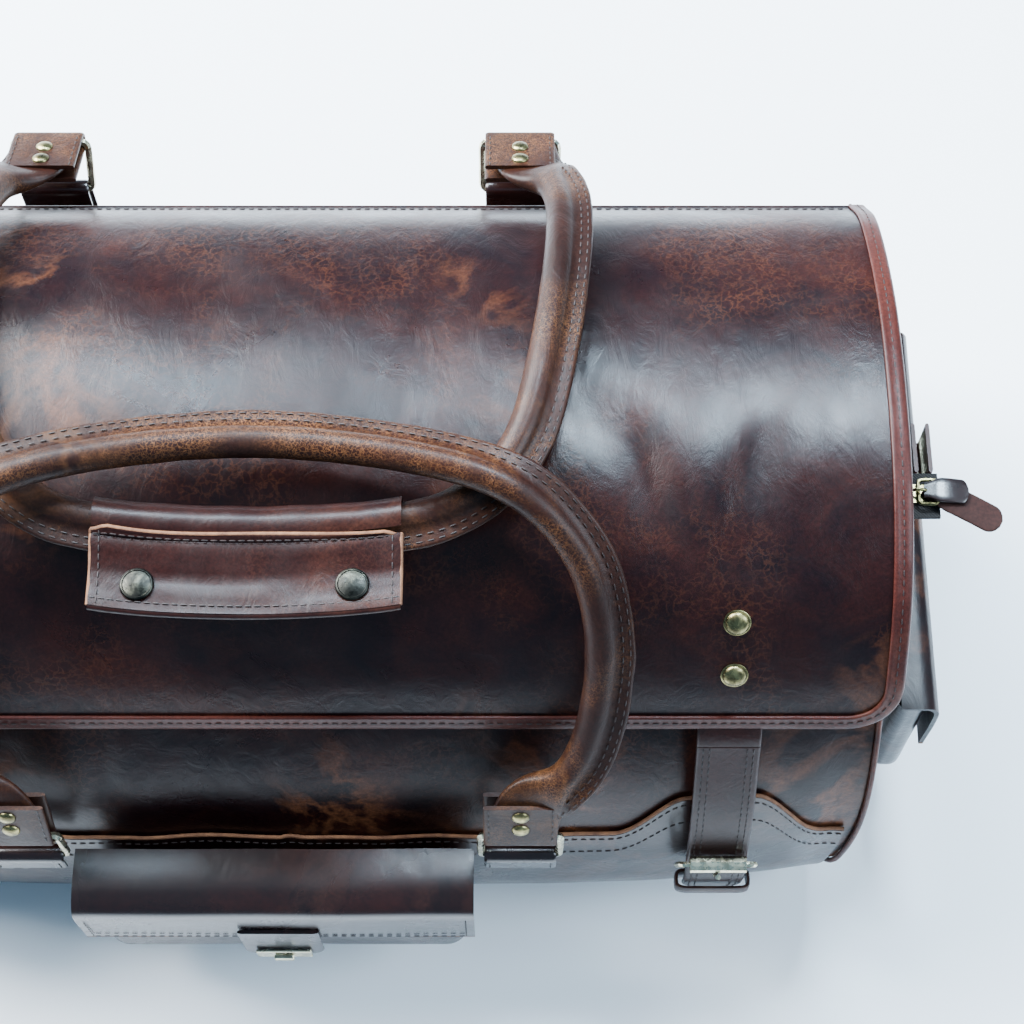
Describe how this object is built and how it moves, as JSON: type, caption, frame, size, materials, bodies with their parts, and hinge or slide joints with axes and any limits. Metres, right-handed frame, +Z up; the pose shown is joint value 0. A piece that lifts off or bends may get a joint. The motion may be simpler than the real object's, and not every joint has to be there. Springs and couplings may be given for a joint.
{
  "type": "duffel bag",
  "caption": "Leather flap-over travel holdall with buckled straps, rolled handles on rings, a zipped mouth, a locking front pocket and end pockets.",
  "frame": {"origin": "on the ground under the middle of the bag's body", "axes": "+X along the bag to its right end, -Y to its front, +Z up"},
  "size_m": [0.6661, 0.3915, 0.3206],
  "materials": {
    "body_leather": "waxed pull-up leather, dark brown with rubbed patches",
    "trim_leather": "reddish brown edge leather with a stitched border",
    "handle_leather": "grained brown leather, cracked finish",
    "antique_brass": "antique brass, satin",
    "lining_cloth": "cotton twill",
    "zip_tape": "woven zip tape"
  },
  "bodies": {
    "bag": {"body_panel": "body_leather", "lining": "lining_cloth", "base_wrap": "trim_leather", "base_board": "lining_cloth", "front_pocket": "body_leather", "lock_base": "antique_brass", "end_panel_left": "body_leather", "end_panel_right": "body_leather", "end_piping_left": "trim_leather", "end_piping_right": "trim_leather", "end_pocket_left": "body_leather", "end_pocket_right": "body_leather", "front_tab_left": "body_leather", "front_tab_right": "body_leather", "rear_tab_left": "body_leather", "rear_tab_right": "body_leather", "d_ring_tab_left": "trim_leather", "d_ring_tab_right": "trim_leather"},
    "flap": {"flap_panel": "body_leather", "flap_binding": "trim_leather", "rivet_left_lower": "antique_brass", "rivet_left_upper": "antique_brass", "rivet_right_lower": "antique_brass", "rivet_right_upper": "antique_brass"},
    "mouth_front": {"mouth_front": "body_leather", "zip_tape_front": "zip_tape"},
    "mouth_rear": {"mouth_rear": "body_leather", "zip_tape_rear": "zip_tape"},
    "front_rings": {"front_ring_left": "antique_brass", "front_ring_right": "antique_brass"},
    "rear_rings": {"rear_ring_left": "antique_brass", "rear_ring_right": "antique_brass"},
    "front_handle": {"front_handle": "handle_leather"},
    "rear_handle": {"rear_handle": "handle_leather", "grip_wrap": "handle_leather"},
    "grip_flap": {"grip_flap": "handle_leather", "grip_snap_left": "antique_brass", "grip_snap_right": "antique_brass"},
    "zip_slider": {"zip_slider": "antique_brass"},
    "zip_pull": {"zip_bail": "antique_brass", "zip_pull": "trim_leather"},
    "pocket_flap": {"pocket_flap": "body_leather", "lock_tongue": "trim_leather", "lock_plate": "antique_brass"},
    "lock_button": {"lock_button": "antique_brass"},
    "strap_left": {"strap_left": "body_leather", "buckle_frame_left": "antique_brass", "keeper_left": "body_leather"},
    "roller_left": {"roller_left": "antique_brass"},
    "prong_left": {"prong_left": "antique_brass"},
    "end_pocket_flap_left": {"end_pocket_flap_left": "body_leather"},
    "d_ring_left": {"d_ring_left": "antique_brass"},
    "strap_right": {"strap_right": "body_leather", "buckle_frame_right": "antique_brass", "keeper_right": "body_leather"},
    "roller_right": {"roller_right": "antique_brass"},
    "prong_right": {"prong_right": "antique_brass"},
    "end_pocket_flap_right": {"end_pocket_flap_right": "body_leather"},
    "d_ring_right": {"d_ring_right": "antique_brass"}
  },
  "joints": [
    {"name": "flap_lift", "type": "hinge", "parent": "bag", "child": "flap", "pos_m": [0, 0.131, 0.2265], "axis": [-1, 0, 0], "range_deg": [0, 70]},
    {"name": "mouth_front_open", "type": "hinge", "parent": "bag", "child": "mouth_front", "pos_m": [0, -0.10272, 0.2164], "axis": [1, 0, 0], "range_deg": [0, 49]},
    {"name": "mouth_rear_open", "type": "hinge", "parent": "bag", "child": "mouth_rear", "pos_m": [0, 0.11816, 0.2194], "axis": [-1, 0, 0], "range_deg": [0, 49]},
    {"name": "front_rings_swing", "type": "hinge", "parent": "bag", "child": "front_rings", "pos_m": [0, -0.1785, 0.134], "axis": [1, 0, 0], "range_deg": [0, 147]},
    {"name": "rear_rings_swing", "type": "hinge", "parent": "bag", "child": "rear_rings", "pos_m": [0, 0.15, 0.214], "axis": [-1, 0, 0], "range_deg": [0, 70]},
    {"name": "handles_raise", "type": "hinge", "parent": "front_rings", "child": "front_handle", "pos_m": [0, -0.17669, 0.15994], "axis": [-1, 0, 0], "range_deg": [-60, 0]},
    {"name": "rear_handle_raise", "type": "hinge", "parent": "rear_rings", "child": "rear_handle", "pos_m": [0, 0.16378, 0.23605], "axis": [-1, 0, 0], "range_deg": [0, 18]},
    {"name": "grip_open", "type": "hinge", "parent": "rear_handle", "child": "grip_flap", "pos_m": [0, -0.115, 0.2895], "axis": [1, 0, 0], "range_deg": [0, 150]},
    {"name": "zip_slide", "type": "slide", "parent": "mouth_front", "child": "zip_slider", "axis": [1, 0, 0], "range_m": [-0.585, 0]},
    {"name": "zip_pull_tilt", "type": "hinge", "parent": "zip_slider", "child": "zip_pull", "pos_m": [0.3005, -0.045, 0.2648], "axis": [0, -1, 0], "range_deg": [0, 80]},
    {"name": "pocket_flap_open", "type": "hinge", "parent": "bag", "child": "pocket_flap", "pos_m": [0, -0.1765, 0.1335], "axis": [-1, 0, 0], "range_deg": [0, 95]},
    {"name": "lock_button_slide", "type": "slide", "parent": "pocket_flap", "child": "lock_button", "axis": [0, 0, -1], "range_m": [0, 0.0025], "stiffness_N_per_m": 60},
    {"name": "strap_left_swing", "type": "hinge", "parent": "flap", "child": "strap_left", "pos_m": [-0.2165, -0.1435, 0.1955], "axis": [-1, 0, 0], "range_deg": [0, 60]},
    {"name": "roller_left_spin", "type": "hinge", "parent": "strap_left", "child": "roller_left", "pos_m": [-0.2165, -0.1812, 0.1235], "axis": [1, 0, 0], "continuous": true},
    {"name": "prong_left_lift", "type": "hinge", "parent": "strap_left", "child": "prong_left", "pos_m": [-0.2165, -0.1757, 0.101], "axis": [1, 0, 0], "range_deg": [0, 45]},
    {"name": "end_pocket_left_open", "type": "hinge", "parent": "bag", "child": "end_pocket_flap_left", "pos_m": [-0.31, 0, 0.1385], "axis": [0, 1, 0], "range_deg": [0, 90]},
    {"name": "d_ring_left_swing", "type": "hinge", "parent": "bag", "child": "d_ring_left", "pos_m": [-0.314, 0, 0.198], "axis": [0, 1, 0], "range_deg": [0, 100]},
    {"name": "strap_right_swing", "type": "hinge", "parent": "flap", "child": "strap_right", "pos_m": [0.2165, -0.1435, 0.1955], "axis": [-1, 0, 0], "range_deg": [0, 60]},
    {"name": "roller_right_spin", "type": "hinge", "parent": "strap_right", "child": "roller_right", "pos_m": [0.2165, -0.1812, 0.1235], "axis": [1, 0, 0], "continuous": true},
    {"name": "prong_right_lift", "type": "hinge", "parent": "strap_right", "child": "prong_right", "pos_m": [0.2165, -0.1757, 0.101], "axis": [1, 0, 0], "range_deg": [0, 45]},
    {"name": "end_pocket_right_open", "type": "hinge", "parent": "bag", "child": "end_pocket_flap_right", "pos_m": [0.31, 0, 0.1385], "axis": [0, -1, 0], "range_deg": [0, 90]},
    {"name": "d_ring_right_swing", "type": "hinge", "parent": "bag", "child": "d_ring_right", "pos_m": [0.314, 0, 0.198], "axis": [0, -1, 0], "range_deg": [0, 100]}
  ],
  "couplings": [
    {"joint": "mouth_front_open", "follows": "flap_lift", "ratio": 0.7},
    {"joint": "mouth_rear_open", "follows": "flap_lift", "ratio": 0.7},
    {"joint": "front_rings_swing", "follows": "flap_lift", "ratio": 2.1},
    {"joint": "rear_rings_swing", "follows": "flap_lift", "ratio": 1},
    {"joint": "rear_handle_raise", "follows": "handles_raise", "ratio": -0.3}
  ]
}
